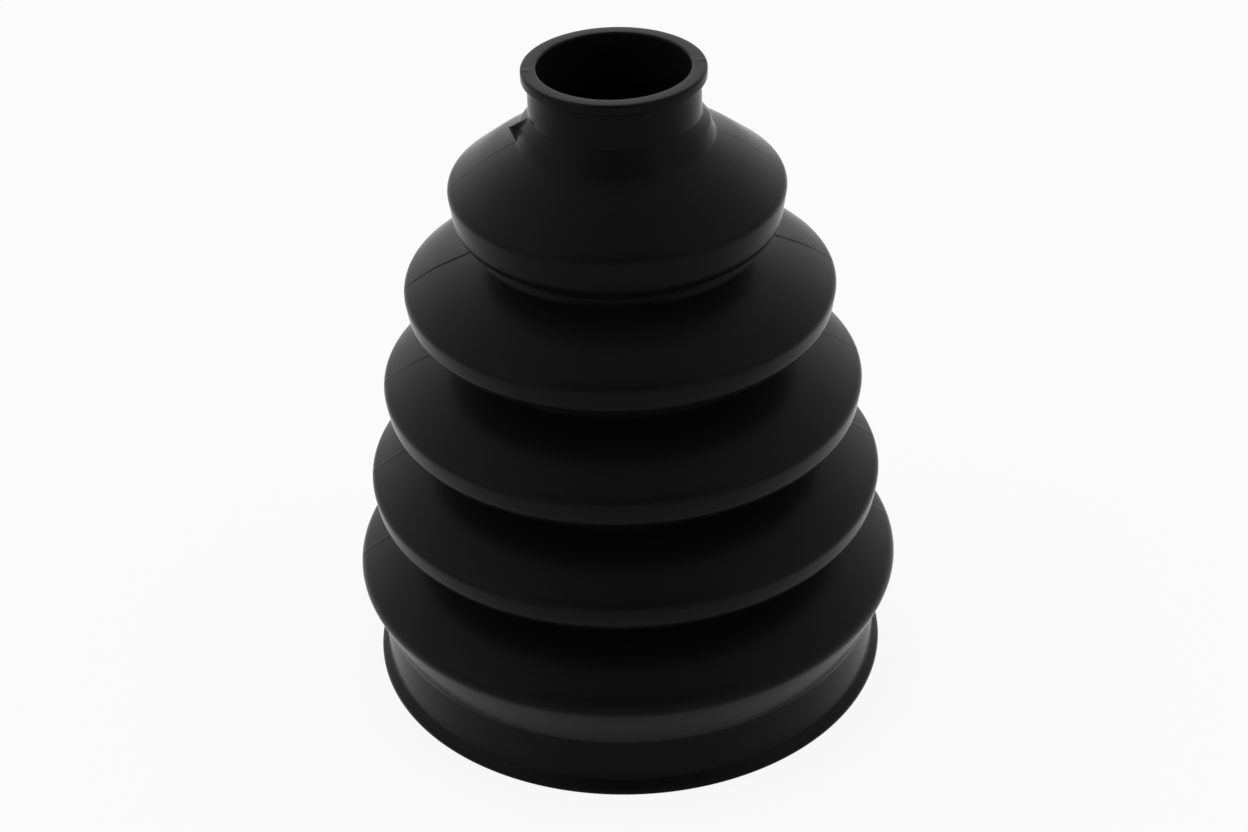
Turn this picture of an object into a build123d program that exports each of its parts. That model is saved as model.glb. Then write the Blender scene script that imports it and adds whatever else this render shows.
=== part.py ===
# Rubber bellows boot for a driveshaft joint, in millimetres.
# It stands on its large end: +Z runs up the axis to the small end,
# and the origin is the centre of the large end's face.
# The boot is one moulded piece, a single section turned about the axis.

from math import cos, radians, sin, tan
import os

from build123d import *

# Large end, which is clamped on the joint's housing
large_bore_d = 84.5  # housing that the collar grips
collar_wall = 1.85  # rubber under the large clamp
foot_overhang = 1.25  # how far the foot bead stands out from the clamp seat
foot_land = 1.2  # straight outer edge of the foot bead
foot_ramp = 1.4  # height of the slope from the bead to the seat
foot_round = 0.5  # lower edge of the bead
foot_top_round = 1.5
large_seat_length = 8.1  # straight part of the collar, which takes the clamp
collar_flank_slope = 68.3  # degrees from level, from the seat out to the first crest

# Folds, from the large end to the small end
fold_wall = 1.6
first_crest_overhang = 3.4  # how far the widest crest stands out from the clamp seat
first_crest_round = 3.0
crest_steps = (3.3, 3.4, 4.75, 8.35)  # how much smaller in radius each next crest is
fold_pitch = 18.1  # from one crest to the next
crest_round = 2.0  # each crest after the first
crest_faces = (5.0, 5.2, 5.0, 7.0)  # length of the steep face under each of these crests
crest_face_slope = 82.0  # degrees from level
heel_round = 3.0  # lower edge of a steep face
root_round = 1.5
hollow_round = 0.8  # inside of a crest
upper_flank_slope = 34.6  # degrees from level, from a crest up to the root above it
lower_flank_slope = 24.0  # degrees from level, from a heel down to the root below it
top_flank_slope = 33.5  # degrees from level, from the last crest up to the neck

# Small end, which is clamped on the shaft
small_bore_d = 24.7  # shaft that the neck grips
neck_wall = 1.6  # rubber under the small clamp
small_seat_length = 8.6  # from the last flank to the lip's underside
neck_round = 4.5  # hollow between the last flank and the neck
lip_overhang = 0.95  # how far the lip stands out from the clamp seat
lip_underside = 0.4  # height of the slope from the seat out to the lip
lip_land = 1.8  # straight outer edge of the lip
lip_round = 0.45
mouth_round = 0.35  # inner edges at both openings

# Radii, heights and slopes that follow from the sizes above
large_bore_r = large_bore_d / 2
large_seat_r = large_bore_r + collar_wall
small_bore_r = small_bore_d / 2
neck_r = small_bore_r + neck_wall
lip_r = neck_r + lip_overhang
foot_r = large_seat_r + foot_overhang

seat_bottom_z = foot_land + foot_ramp
seat_top_z = seat_bottom_z + large_seat_length

crest_radii = [large_seat_r + first_crest_overhang]
for step in crest_steps:
    crest_radii.append(crest_radii[-1] - step)
crest_rounds = [first_crest_round] + [crest_round] * len(crest_steps)
steep_faces = [radians(collar_flank_slope)] + [radians(crest_face_slope)] * len(crest_steps)
upper_flanks = [radians(upper_flank_slope)] * len(crest_steps) + [radians(top_flank_slope)]


def crest_corner(crest_r, rounding, below, above):
    """Where the two faces of a crest at crest_r and height 0 meet, before rounding."""
    out = (cos(below) + cos(above)) / sin(below + above) - 1
    up = (sin(below) - sin(above)) / sin(below + above)
    return Vector(crest_r + rounding * out, rounding * up)


crests = zip(crest_radii, crest_rounds, steep_faces, upper_flanks)
crest_corners = [crest_corner(*crest) for crest in crests]
collar_flank_reach = crest_corners[0].X - large_seat_r
first_crest_z = (
    seat_top_z + collar_flank_reach * tan(steep_faces[0]) - crest_corners[0].Y
)
crest_corners = [
    corner + Vector(0, first_crest_z + fold * fold_pitch)
    for fold, corner in enumerate(crest_corners)
]


def folded_wall(collar_r, top_r):
    """Outer corners from the collar at collar_r up to the neck at top_r."""
    first, last = crest_corners[0], crest_corners[-1]
    rise_above = tan(radians(lower_flank_slope))
    corners = [Vector(collar_r, first.Y - (first.X - collar_r) * tan(steep_faces[0])), first]
    for fold, crest in enumerate(crest_corners[1:]):
        below = corners[-1]
        rise_below = tan(upper_flanks[fold])
        face = steep_faces[fold + 1]
        heel = crest - Vector(cos(face), sin(face)) * crest_faces[fold]
        drop = heel.Y - below.Y
        root_r = (heel.X * rise_above + below.X * rise_below - drop) / (rise_above + rise_below)
        root = Vector(root_r, below.Y + (below.X - root_r) * rise_below)
        corners += [root, heel, crest]
    corners.append(Vector(top_r, last.Y + (last.X - top_r) * tan(upper_flanks[-1])))
    return corners


def inset(corners, depth):
    """Inner corners of a line of corners, moved into the rubber by depth."""
    ways = [(end - start).normalized() for start, end in zip(corners, corners[1:])]
    sides = [Vector(-way.Y, way.X) for way in ways]
    moved = []
    for corner, below, above in zip(corners[1:], sides, sides[1:]):
        moved.append(corner + (below + above) * (depth / (1 + below.dot(above))))
    return moved


def fitting_rounds(outline):
    """The rounds of a closed outline, none of them longer than its two sides allow."""
    side_share = 0.48  # of a side's length, for the round at each of its ends
    corners = [corner for corner, wanted in outline]
    rounds = []
    for here, (corner, wanted) in enumerate(outline):
        back = corners[here - 1] - corner
        ahead = corners[(here + 1) % len(corners)] - corner
        room = side_share * min(back.length, ahead.length)
        rounds.append(min(wanted, room * tan(radians(back.get_angle(ahead) / 2))))
    return rounds


# Outer line, upwards, each corner with its round
collar_corner, *fold_corners, neck_corner = folded_wall(large_seat_r, neck_r)
small_seat_top_z = neck_corner.Y + small_seat_length
lip_z = small_seat_top_z + lip_underside
mouth_z = lip_z + lip_land
outer_line = [
    (Vector(foot_r, 0), foot_round),
    (Vector(foot_r, foot_land), foot_top_round),
    (Vector(large_seat_r, seat_bottom_z), 0),
    (collar_corner, 0),
]
fold_rounds = [first_crest_round] + [root_round, heel_round, crest_round] * len(crest_steps)
outer_line += zip(fold_corners, fold_rounds)
outer_line += [
    (neck_corner, neck_round),
    (Vector(neck_r, small_seat_top_z), 0),
    (Vector(lip_r, lip_z), lip_round),
    (Vector(lip_r, mouth_z), lip_round),
]

# Inner line, upwards, one wall inside the folds
collar_skin_r = large_bore_r + fold_wall
neck_skin_r = small_bore_r + fold_wall
skin = [Vector(collar_skin_r, 0)]
skin += folded_wall(collar_skin_r, neck_skin_r)
skin += [Vector(neck_skin_r, mouth_z)]
inner_collar, *inner_folds, inner_neck = inset(skin, fold_wall)
inner_line = [(Vector(large_bore_r, 0), mouth_round), (inner_collar, 0)]
inner_root_round = root_round + fold_wall
inner_rounds = [hollow_round] + [inner_root_round, 0, hollow_round] * len(crest_steps)
inner_line += zip(inner_folds, inner_rounds)
inner_line.append((inner_neck, neck_round + fold_wall))
inner_line.append((Vector(small_bore_r, mouth_z), mouth_round))

section_outline = outer_line + inner_line[::-1]

with BuildPart() as boot:
    with BuildSketch(Plane.XZ):
        with BuildLine():
            FilletPolyline(
                [corner for corner, wanted in section_outline],
                radius=fitting_rounds(section_outline),
                close=True,
            )
        make_face()
    revolve(axis=Axis.Z)

os.makedirs("parts", exist_ok=True)
boot.part.label = "boot"
export_step(boot.part, "parts/boot.step")
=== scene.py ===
import bpy
from math import cos, exp, radians, sin, tan
from mathutils import Matrix, Vector


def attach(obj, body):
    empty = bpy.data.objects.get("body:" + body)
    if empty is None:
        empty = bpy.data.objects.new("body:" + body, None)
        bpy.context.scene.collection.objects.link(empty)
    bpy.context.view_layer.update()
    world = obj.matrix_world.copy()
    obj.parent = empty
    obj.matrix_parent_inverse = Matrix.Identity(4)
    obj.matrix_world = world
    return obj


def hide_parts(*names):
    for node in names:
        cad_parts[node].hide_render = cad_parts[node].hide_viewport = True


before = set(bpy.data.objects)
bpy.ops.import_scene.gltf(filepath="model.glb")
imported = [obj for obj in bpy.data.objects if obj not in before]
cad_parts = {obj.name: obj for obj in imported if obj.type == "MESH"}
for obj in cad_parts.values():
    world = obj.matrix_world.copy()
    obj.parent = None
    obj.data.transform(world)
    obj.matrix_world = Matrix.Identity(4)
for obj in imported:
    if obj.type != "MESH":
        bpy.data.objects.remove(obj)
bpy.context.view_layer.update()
mm = 0.001  # sizes below are in millimetres
print("frame loaded")


class Wire:
    # a socket of a node tree, which takes part in Python arithmetic
    def __init__(self, tree, socket=None):
        self.tree = tree
        self.socket = socket

    def add(self, kind, settings=None, values=None):
        # a node of any kind, given its settings and what its sockets hold
        node = self.tree.nodes.new(kind)
        for name, value in (settings or {}).items():
            if name == "stops":
                ramp = node.color_ramp
                while len(ramp.elements) < len(value):
                    ramp.elements.new(1.0)
                for stop, (place, grey) in zip(ramp.elements, value):
                    stop.position = place
                    stop.color = (grey, grey, grey, 1.0)
            else:
                setattr(node, name, value)
        for name, value in (values or {}).items():
            if isinstance(value, Wire):
                self.tree.links.new(value.socket, node.inputs[name])
            else:
                node.inputs[name].default_value = value
        shown = [out for out in node.outputs if out.enabled]
        return Wire(self.tree, shown[0] if shown else None)

    def out(self, name):
        return Wire(self.tree, self.socket.node.outputs[name])

    def maths(self, operation, first, second=0.0):
        return self.add("ShaderNodeMath", {"operation": operation}, {0: first, 1: second})

    def __add__(self, other):
        return self.maths("ADD", self, other)

    __radd__ = __add__

    def __rsub__(self, other):
        return self.maths("SUBTRACT", other, self)

    def __mul__(self, other):
        return self.maths("MULTIPLY", self, other)

    def __truediv__(self, other):
        return self.maths("DIVIDE", self, other)


boot = {
    "largeBore": 84.5,
    "collarWall": 1.85,
    "footOverhang": 1.25,
    "footLand": 1.2,
    "footRamp": 1.4,
    "footRound": 0.5,
    "footTopRound": 1.5,
    "largeSeat": 8.1,
    "collarSlope": 68.3,
    "foldWall": 1.6,
    "firstCrest": 3.4,
    "firstRound": 3.0,
    "crestSteps": (3.3, 3.4, 4.75, 8.35),
    "foldPitch": 18.1,
    "crestRound": 2.0,
    "crestFaces": (5.0, 5.2, 5.0, 7.0),
    "faceSlope": 82.0,
    "heelRound": 3.0,
    "rootRound": 1.5,
    "hollowRound": 0.8,
    "upperSlope": 38.0,
    "hollowSlope": 22.5,
    "bendReaches": (5.2, 5.0, 4.6, 4.2),
    "bendRound": 25.0,
    "lowerSlope": 24.0,
    "topSlope": 38.0,
    "topHollowSlope": 29.5,
    "topBendReach": 6.5,
    "smallBore": 24.7,
    "neckWall": 1.6,
    "smallSeat": 8.6,
    "neckHollow": 6.1,
    "baseOverhang": 2.3,
    "shoulderOverhang": 1.35,
    "shoulderHeight": 1.25,
    "shoulderRamp": 1.45,
    "baseRound": 0.6,
    "shoulderRound": 0.7,
    "neckRound": 1.0,
    "lipOverhang": 0.95,
    "lipUnderside": 0.4,
    "lipLand": 1.8,
    "lipRound": 0.45,
    "mouthRound": 0.35,
    "seatRound": 0.2,
    "turnSteps": 224,
    "roundSteps": 7,
    "spacing": 3.5,
}


def crestCorners(seatTop, seatRadius):
    # where the faces beside each crest meet before rounding, as (radius, height)
    b = boot
    corners = []
    radius = seatRadius + b["firstCrest"]
    for fold, step in enumerate((0,) + b["crestSteps"]):
        radius -= step
        rounding = b["crestRound"] if fold else b["firstRound"]
        below = radians(b["faceSlope"] if fold else b["collarSlope"])
        above = radians(b["topSlope"] if fold == len(b["crestSteps"]) else b["upperSlope"])
        out = radius + rounding * ((cos(below) + cos(above)) / sin(below + above) - 1)
        up = rounding * (sin(below) - sin(above)) / sin(below + above)
        if fold == 0:
            middle = seatTop + (out - seatRadius) * tan(below) - up
        corners.append(Vector((out, middle + fold * b["foldPitch"] + up)))
    return corners


def foldedWall(crests, collarRadius, topRadius):
    # the crests' corners with the roots and heels between them, from the collar to the neck
    b = boot
    upper, lower = tan(radians(b["hollowSlope"])), tan(radians(b["lowerSlope"]))
    first, last = crests[0], crests[-1]
    rise = (first.x - collarRadius) * tan(radians(b["collarSlope"]))
    corners = [Vector((collarRadius, first.y - rise)), first]
    steep = radians(b["faceSlope"])
    for below, above, face, flat in zip(crests, crests[1:], b["crestFaces"], b["bendReaches"]):
        heel = above - Vector((cos(steep), sin(steep))) * face
        bend = below + Vector((-1, tan(radians(b["upperSlope"])))) * flat
        root = (heel.x * lower + bend.x * upper - heel.y + bend.y) / (lower + upper)
        corners += [bend, Vector((root, bend.y + (bend.x - root) * upper)), heel, above]
    bend = last + Vector((-1, tan(radians(b["topSlope"])))) * b["topBendReach"]
    rise = (bend.x - topRadius) * tan(radians(b["topHollowSlope"]))
    return corners + [bend, Vector((topRadius, bend.y + rise))]


def insetCorners(line, depth):
    # the same corners, moved into the rubber by one wall
    ways = [(b - a).normalized() for a, b in zip(line, line[1:])]
    sides = [Vector((-way.y, way.x)) for way in ways]
    return [
        corner + (below + above) * (depth / (1 + below.dot(above)))
        for corner, below, above in zip(line[1:], sides, sides[1:])
    ]


def bootSection():
    # the closed outline of the wall, as (corner, corner's round)
    b = boot
    bore, smallBore = b["largeBore"] / 2, b["smallBore"] / 2
    seat, neck = bore + b["collarWall"], smallBore + b["neckWall"]
    foot, lip = seat + b["footOverhang"], neck + b["lipOverhang"]
    base, shoulder = neck + b["baseOverhang"], neck + b["shoulderOverhang"]
    seatBottom = b["footLand"] + b["footRamp"]
    crests = crestCorners(seatBottom + b["largeSeat"], seat)
    collar, *folds, top = foldedWall(crests, seat, neck)
    baseHeight = top.y - b["baseOverhang"] * tan(radians(b["topHollowSlope"]))
    ledge = top.y + b["shoulderHeight"]
    seatTop = top.y + b["smallSeat"]
    lipBottom = seatTop + b["lipUnderside"]
    mouth = lipBottom + b["lipLand"]
    outer = [
        (Vector((foot, 0)), b["footRound"]),
        (Vector((foot, b["footLand"])), b["footTopRound"]),
        (Vector((seat, seatBottom)), b["seatRound"]),
        (collar, b["seatRound"]),
    ]
    rounds = [b["firstRound"]]
    rounds += [b["bendRound"], b["rootRound"], b["heelRound"], b["crestRound"]] * len(b["crestSteps"])
    outer += zip(folds, [*rounds, b["bendRound"]])
    outer += [
        (Vector((base, baseHeight)), b["baseRound"]),
        (Vector((shoulder, ledge)), b["shoulderRound"]),
        (Vector((neck, ledge + b["shoulderRamp"])), b["neckRound"]),
        (Vector((neck, seatTop)), b["seatRound"]),
        (Vector((lip, lipBottom)), b["lipRound"]),
        (Vector((lip, mouth)), b["lipRound"]),
    ]
    wall = b["foldWall"]
    skin = foldedWall(crests, bore + wall, smallBore + wall)
    skin = [Vector((bore + wall, 0)), *skin, Vector((smallBore + wall, mouth))]
    collar, *folds, top = insetCorners(skin, wall)
    inner = [(Vector((bore, 0)), b["mouthRound"]), (collar, b["seatRound"])]
    hollow = b["hollowRound"]
    rounds = [hollow]
    rounds += [b["bendRound"], b["rootRound"] + wall, hollow, hollow] * len(b["crestSteps"])
    inner += zip(folds, [*rounds, b["bendRound"]])
    inner += [(top, b["neckHollow"]), (Vector((smallBore, mouth)), b["mouthRound"])]
    return inner + outer[::-1]


def turningTree():
    # rounds a section's corners and turns it about the Z axis
    tree = bpy.data.node_groups.new("turnedRubber", "GeometryNodeTree")
    face = tree.interface
    face.new_socket("Section", in_out="INPUT", socket_type="NodeSocketGeometry")
    for name, kind in (
        ("Turning Radius", "NodeSocketFloat"),
        ("Turn Steps", "NodeSocketInt"),
        ("Round Steps", "NodeSocketInt"),
        ("Spacing", "NodeSocketFloat"),
        ("Rubber", "NodeSocketMaterial"),
    ):
        face.new_socket(name, in_out="INPUT", socket_type=kind)
    face.new_socket("Boot", in_out="OUTPUT", socket_type="NodeSocketGeometry")
    start = Wire(tree)
    given = start.add("NodeGroupInput")
    section = start.add("GeometryNodeMeshToCurve", {}, {"Mesh": given.out("Section")})
    rounding = start.add("GeometryNodeInputNamedAttribute", {"data_type": "FLOAT"}, {"Name": "cornerRound"})
    rounded = start.add(
        "GeometryNodeFilletCurve",
        {"mode": "POLY"},
        {"Curve": section, "Count": given.out("Round Steps"), "Radius": rounding},
    )
    place = start.add("GeometryNodeInputPosition")
    here = start.add("GeometryNodeInputIndex")
    ahead = start.add(
        "GeometryNodeFieldAtIndex",
        {"data_type": "FLOAT_VECTOR", "domain": "POINT"},
        {"Index": here + 1, "Value": place},
    )
    gap = start.add("ShaderNodeVectorMath", {"operation": "DISTANCE"}, {0: place, 1: ahead}).out("Value")
    cuts = start.maths("FLOOR", gap / given.out("Spacing"))
    divided = start.add("GeometryNodeSubdivideCurve", {}, {"Curve": rounded, "Cuts": cuts})
    ring = start.add(
        "GeometryNodeCurvePrimitiveCircle",
        {"mode": "RADIUS"},
        {"Resolution": given.out("Turn Steps"), "Radius": given.out("Turning Radius")},
    )
    turned = start.add("GeometryNodeCurveToMesh", {}, {"Curve": ring, "Profile Curve": divided})
    smooth = start.add("GeometryNodeSetShadeSmooth", {}, {"Geometry": turned, "Shade Smooth": True})
    whole = start.add("GeometryNodeRealizeInstances", {}, {"Geometry": smooth})
    dressed = start.add("GeometryNodeSetMaterial", {}, {"Geometry": whole, "Material": given.out("Rubber")})
    start.add("NodeGroupOutput", {}, {"Boot": dressed})
    return tree


seam = {
    "turn": 4.3,
    "halfWidth": 0.85,
    "height": 0.45,
    "top": 113.0,
    "strengths": ((0.0, 0.25), (0.62, 0.3), (0.68, 1.0), (0.74, 1.0), (0.78, 0.25), (1.0, 0.25)),
}


def seamLine(place):
    # the height of the fine ridge where the two halves of the mould met
    turn = radians(seam["turn"])
    across = (-sin(turn), cos(turn), 0)
    aside = place.add("ShaderNodeVectorMath", {"operation": "DOT_PRODUCT"}, {0: place, 1: across})
    near = place.add(
        "ShaderNodeMapRange",
        {"interpolation_type": "SMOOTHSTEP"},
        {
            "Value": place.maths("ABSOLUTE", aside.out("Value")),
            "From Max": seam["halfWidth"] * mm,
            "To Min": 1.0,
            "To Max": 0.0,
        },
    )
    height = place.add("ShaderNodeSeparateXYZ", {}, {0: place}).out("Z") / (seam["top"] * mm)
    strength = place.add("ShaderNodeValToRGB", {"stops": seam["strengths"]}, {"Fac": height})
    outside = place.add("ShaderNodeAttribute", {"attribute_name": "outside"}).out("Fac")
    return near * strength * outside


def plainMesh(source, name):
    # what the modifiers make, as a plain mesh object
    graph = bpy.context.evaluated_depsgraph_get()
    made = bpy.data.objects.new(name, bpy.data.meshes.new_from_object(source.evaluated_get(graph)))
    bpy.context.scene.collection.objects.link(made)
    bpy.data.objects.remove(source)
    return made


finish = {
    "colour": (0.0054, 0.0054, 0.0055, 1.0),
    "roughness": 0.32,
    "roughnessDrift": 0.08,
    "driftScale": 60.0,
    "specular": 0.053,
    "grainScale": 900.0,
    "grainStrength": 0.05,
    "grainDepth": 0.3,
    "rimRoughness": 0.14,
    "rims": ((5.0, 0.27), (12.0, 0.5)),
}


def rubberMaterial():
    # satin black rubber, with a stronger gloss where it turns away from the eye
    f = finish
    material = bpy.data.materials.new("mouldedRubber")
    material.use_nodes = True
    tree = material.node_tree
    tree.nodes.clear()
    start = Wire(tree)
    place = start.add("ShaderNodeTexCoord").out("Object")
    grain = start.add("ShaderNodeTexNoise", {}, {"Vector": place, "Scale": f["grainScale"], "Detail": 3.0})
    drift = start.add("ShaderNodeTexNoise", {}, {"Vector": place, "Scale": f["driftScale"], "Detail": 4.0})
    line = {"Height": seamLine(place), "Strength": 1.0, "Distance": seam["height"] * mm}
    ridge = start.add("ShaderNodeBump", {}, line)
    bump = start.add(
        "ShaderNodeBump",
        {},
        {"Height": grain, "Strength": f["grainStrength"], "Distance": f["grainDepth"] * mm, "Normal": ridge},
    )
    look = start.add(
        "ShaderNodeBsdfPrincipled",
        {},
        {
            "Base Color": f["colour"],
            "Roughness": f["roughness"] + drift * f["roughnessDrift"],
            "Specular IOR Level": f["specular"],
            "Normal": bump,
        },
    )
    gloss = {"Color": (1, 1, 1, 1), "Roughness": f["rimRoughness"], "Normal": bump}
    rim = start.add("ShaderNodeBsdfAnisotropic", {}, gloss)
    facing = start.add("ShaderNodeLayerWeight", {}, {"Blend": 0.5}).out("Facing")
    wide, narrow = [start.maths("POWER", facing, power) * share for power, share in f["rims"]]
    both = start.add("ShaderNodeMixShader", {}, {0: wide + narrow, 1: look, 2: rim})
    start.add("ShaderNodeOutputMaterial", {}, {"Surface": both})
    return material


def turnedBoot(rubber):
    # the boot as a plain mesh, whose outer side is marked for the seam
    section = bootSection()
    meanRadius = (boot["largeBore"] + boot["smallBore"]) / 4 * mm
    outline = bpy.data.meshes.new("section")
    outline.from_pydata(
        [(corner.x * mm - meanRadius, -corner.y * mm, 0) for corner, wanted in section],
        [(here, (here + 1) % len(section)) for here in range(len(section))],
        [],
    )
    rounds = outline.attributes.new("cornerRound", "FLOAT", "POINT")
    for place, (corner, wanted) in enumerate(section):
        rounds.data[place].value = wanted * mm
    source = bpy.data.objects.new("section", outline)
    bpy.context.scene.collection.objects.link(source)
    tree = turningTree()
    modifier = source.modifiers.new("turned", "NODES")
    modifier.node_group = tree
    wanted = {
        "Turning Radius": meanRadius,
        "Turn Steps": boot["turnSteps"],
        "Round Steps": boot["roundSteps"],
        "Spacing": boot["spacing"] * mm,
        "Rubber": rubber,
    }
    for item in tree.interface.items_tree:
        if item.name in wanted:
            modifier[item.identifier] = wanted[item.name]
    shape = plainMesh(source, "rubber_boot")
    outside = shape.data.attributes.new("outside", "FLOAT", "POINT")
    for vertex, mark in zip(shape.data.vertices, outside.data):
        mark.value = vertex.normal.xy.dot(vertex.co.xy) > 0
    return shape


nib = {
    "pushes": ((102.2, 0.0), (102.8, 0.9), (103.25, 2.4), (103.8, 1.0), (104.6, 0.0)),
    "halfWidth": 0.65,
}


def raiseNib(shape):
    # a point of rubber left on the seam, on the neck's shoulder
    turn = radians(seam["turn"])
    outward = Vector((-cos(turn), -sin(turn), 0))
    across = Vector((sin(turn), -cos(turn), 0))
    for vertex, mark in zip(shape.data.vertices, shape.data.attributes["outside"].data):
        place = vertex.co / mm
        if mark.value and outward.dot(place) > 0:
            near = exp(-((across.dot(place) / nib["halfWidth"]) ** 2))
            for (low, first), (high, last) in zip(nib["pushes"], nib["pushes"][1:]):
                if low <= place.z < high:
                    push = first + (last - first) * (place.z - low) / (high - low)
                    vertex.co += outward * push * near * mm


studio = {
    "lens": 69.07,
    "distance": 415.1,
    "elevation": 33.284,
    "roll": -1.694,
    "aim": (0.0, 0.0, 46.7),
    "levels": ((0.0, 0.6), (0.34, 0.96), (0.55, 0.93), (0.77, 0.72), (0.94, 0.54), (1.0, 0.42)),
    "brightest": 1.45,
    "dim": 0.04,
    "dimElevation": 30.0,
    "dimCore": 14.0,
    "dimEdge": 57.0,
    "floorHalf": 3.0,
    "floorGrey": 0.8,
    "seenFloor": 0.9,
    "mirroredFloor": 0.38,
    "tilt": 0.1,
}


def addCamera():
    s = studio
    rise = radians(s["elevation"])
    ahead = Vector((0, cos(rise), -sin(rise)))
    right = Vector((1, 0, 0))
    up = right.cross(ahead)
    turn = radians(s["roll"])
    rolledRight = cos(turn) * right + sin(turn) * up
    rolledUp = -sin(turn) * right + cos(turn) * up
    data = bpy.data.cameras.new("camera")
    data.lens = s["lens"]
    data.sensor_width = 36.0
    data.sensor_fit = "HORIZONTAL"
    data.clip_start = 0.01
    camera = bpy.data.objects.new("camera", data)
    bpy.context.scene.collection.objects.link(camera)
    axes = Matrix((rolledRight, rolledUp, -ahead)).transposed().to_4x4()
    place = (Vector(s["aim"]) - ahead * s["distance"]) * mm
    camera.matrix_world = Matrix.Translation(place) @ axes
    bpy.context.scene.camera = camera


def addStage():
    # a pale floor, plain white to the camera but for the part inside the boot
    s = studio
    data = bpy.data.meshes.new("floor")
    half = s["floorHalf"]
    corners = [(-half, -half, 0), (half, -half, 0), (half, half, 0), (-half, half, 0)]
    data.from_pydata(corners, [], [(0, 1, 2, 3)])
    floor = bpy.data.objects.new("floor", data)
    bpy.context.scene.collection.objects.link(floor)
    material = bpy.data.materials.new("paleFloor")
    material.use_nodes = True
    tree = material.node_tree
    tree.nodes.clear()
    start = Wire(tree)
    path = start.add("ShaderNodeLightPath")
    seen = path.out("Is Camera Ray") * s["seenFloor"] + path.out("Is Glossy Ray") * s["mirroredFloor"]
    place = start.add("ShaderNodeTexCoord").out("Object")
    away = start.add("ShaderNodeVectorMath", {"operation": "LENGTH"}, {0: place}).out("Value")
    outside = start.maths("GREATER_THAN", away, boot["largeBore"] / 2 * mm)
    matt = start.add("ShaderNodeBsdfDiffuse", {}, {"Color": (*[s["floorGrey"]] * 3, 1)})
    glow = start.add("ShaderNodeEmission", {}, {"Color": (1, 1, 1, 1), "Strength": 1.0})
    both = start.add("ShaderNodeMixShader", {}, {0: seen * outside, 1: matt, 2: glow})
    start.add("ShaderNodeOutputMaterial", {}, {"Surface": both})
    data.materials.append(material)
    addSurround()


def addSurround():
    # a white surround in tiers, dimmer in front of the boot and plain white to the camera
    s = studio
    world = bpy.data.worlds.new("studio")
    bpy.context.scene.world = world
    world.use_nodes = True
    tree = world.node_tree
    tree.nodes.clear()
    start = Wire(tree)
    way = start.add("ShaderNodeTexCoord").out("Generated")
    rise = radians(s["dimElevation"])
    middle = (0, -cos(rise), sin(rise))
    facing = start.add("ShaderNodeVectorMath", {"operation": "DOT_PRODUCT"}, {0: way, 1: middle}).out("Value")
    level = start.add(
        "ShaderNodeMapRange",
        {"interpolation_type": "SMOOTHSTEP"},
        {
            "Value": facing,
            "From Min": cos(radians(s["dimEdge"])),
            "From Max": cos(radians(s["dimCore"])),
            "To Min": 1.0,
            "To Max": s["dim"],
        },
    )
    parts = start.add("ShaderNodeSeparateXYZ", {}, {0: way})
    height = parts.out("Z")
    tiers = start.add("ShaderNodeValToRGB", {"stops": s["levels"]}, {"Fac": height}) * s["brightest"]
    seen = start.add("ShaderNodeLightPath").out("Is Camera Ray")
    leftward = 1.0 - parts.out("X") * s["tilt"]
    strength = start.maths("MAXIMUM", level * tiers * leftward, seen)
    light = start.add("ShaderNodeBackground", {}, {"Color": (1, 1, 1, 1), "Strength": strength})
    start.add("ShaderNodeOutputWorld", {}, {"Surface": light})


rubber = rubberMaterial()
print("rubber material made")
shape = turnedBoot(rubber)
raiseNib(shape)
print("boot turned, faces:", len(shape.data.polygons))
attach(shape, "root")
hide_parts("boot")
addStage()
addCamera()
print("floor, surround and camera set")
bpy.context.scene.view_settings.view_transform = "Standard"
